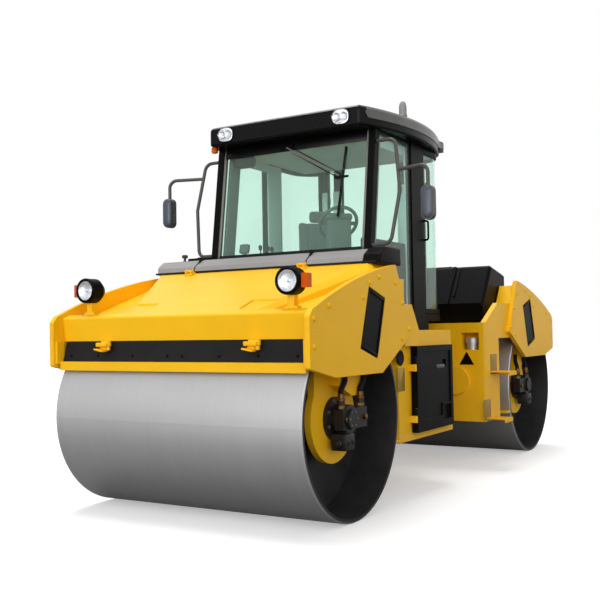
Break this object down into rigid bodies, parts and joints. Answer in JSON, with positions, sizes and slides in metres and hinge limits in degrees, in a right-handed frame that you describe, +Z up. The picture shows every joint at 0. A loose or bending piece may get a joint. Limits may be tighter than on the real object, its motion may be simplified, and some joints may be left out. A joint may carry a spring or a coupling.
{
  "type": "tandem road roller",
  "caption": "Articulated tandem road roller with smooth steel drums, yellow forks, glazed cab on the front frame and a black engine hood on the rear frame.",
  "frame": {"origin": "on the ground, midway between the two drum axles, in the machine's middle plane", "axes": "+X forward, +Y to the machine's left, +Z up; the drums turn about Y"},
  "size_m": [5.4, 2.64, 3.2998],
  "materials": {
    "yellow_paint": "semi-gloss paint",
    "black_paint": "satin paint",
    "black_plastic": "fine grain",
    "grey_plastic": "fine grain",
    "drum_steel": "rolled smooth",
    "bright_steel": "polished",
    "cast_grey": "as cast, painted dark",
    "rubber": "matt",
    "tinted_glass": "green tint",
    "clear_lens": "clear",
    "amber_lens": "ribbed lens",
    "red_lens": "ribbed lens",
    "seat_cloth": "woven"
  },
  "bodies": {
    "front_frame": {"front_chassis": "yellow_paint", "front_arms": "yellow_paint", "front_side_panels": "yellow_paint", "front_panel_covers": "black_paint", "front_beam": "yellow_paint", "front_hood": "yellow_paint", "cowl_strip": "grey_plastic", "front_scrapers": "yellow_paint", "front_scraper_mats": "rubber", "lamp_brackets": "yellow_paint", "headlamps": "black_paint", "headlamp_lenses": "clear_lens", "indicator_lamps": "amber_lens", "front_drum_motors": "cast_grey", "front_drum_hoses": "rubber", "cab_base": "black_paint", "cab_frame": "black_paint", "cab_roof": "black_plastic", "windscreen": "tinted_glass", "wiper": "black_plastic", "cab_glass": "tinted_glass", "roof_lamps": "clear_lens", "mirrors": "black_paint", "beacon": "grey_plastic", "seat": "seat_cloth", "steering_console": "black_plastic", "steering_barrel": "black_paint"},
    "rear_frame": {"rear_chassis": "yellow_paint", "articulation_hitch": "black_paint", "rear_arms": "yellow_paint", "rear_side_panels": "yellow_paint", "rear_panel_covers": "black_paint", "rear_beam": "yellow_paint", "rear_tank": "yellow_paint", "rear_scrapers": "yellow_paint", "rear_scraper_mats": "rubber", "rear_drum_motors": "cast_grey", "rear_drum_hoses": "rubber", "rear_steps": "yellow_paint", "fuel_cap": "bright_steel", "slow_sign": "black_plastic", "engine_block": "cast_grey", "tail_lamps": "red_lens"},
    "front_drum": {"front_drum": "drum_steel"},
    "rear_drum": {"rear_drum": "drum_steel"},
    "cab_door_left": {"cab_door_left": "black_paint", "cab_door_left_glass": "tinted_glass"},
    "cab_door_right": {"cab_door_right": "black_paint", "cab_door_right_glass": "tinted_glass"},
    "service_door_left": {"service_door_left": "black_paint"},
    "service_door_right": {"service_door_right": "black_paint"},
    "engine_hood": {"engine_hood": "black_paint"},
    "steering_rod": {"steering_rod": "bright_steel"}
  },
  "joints": [
    {"name": "steer", "type": "hinge", "parent": "front_frame", "child": "rear_frame", "pos_m": [-0.205, 0, 0.75], "axis": [0, 0, 1], "range_deg": [-32, 32]},
    {"name": "front_drum_spin", "type": "hinge", "parent": "front_frame", "child": "front_drum", "pos_m": [2, 0, 0.7], "axis": [0, 1, 0], "continuous": true},
    {"name": "rear_drum_spin", "type": "hinge", "parent": "rear_frame", "child": "rear_drum", "pos_m": [-2, 0, 0.7], "axis": [0, 1, 0], "continuous": true},
    {"name": "cab_door_left_hinge", "type": "hinge", "parent": "front_frame", "child": "cab_door_left", "pos_m": [-0.466, 0.527, 2.185], "axis": [0, 0, 1], "range_deg": [0, 85]},
    {"name": "cab_door_right_hinge", "type": "hinge", "parent": "front_frame", "child": "cab_door_right", "pos_m": [-0.466, -0.527, 2.185], "axis": [0, 0, 1], "range_deg": [-85, 0]},
    {"name": "service_door_left_hinge", "type": "hinge", "parent": "front_frame", "child": "service_door_left", "pos_m": [1.001, 1.076, 0.8375], "axis": [0, 0, -1], "range_deg": [0, 90]},
    {"name": "service_door_right_hinge", "type": "hinge", "parent": "front_frame", "child": "service_door_right", "pos_m": [1.001, -1.076, 0.8375], "axis": [0, 0, -1], "range_deg": [-90, 0]},
    {"name": "engine_hood_hinge", "type": "hinge", "parent": "rear_frame", "child": "engine_hood", "pos_m": [-1.634, 0, 1.73254], "axis": [0, -1, 0], "range_deg": [0, 55]},
    {"name": "steering_rod_slide", "type": "slide", "parent": "front_frame", "child": "steering_rod", "axis": [-1, 0, 0], "range_m": [-0.16, 0.16]}
  ],
  "couplings": [
    {"joint": "steering_rod_slide", "follows": "steer", "m_per_rad": 0.27}
  ]
}
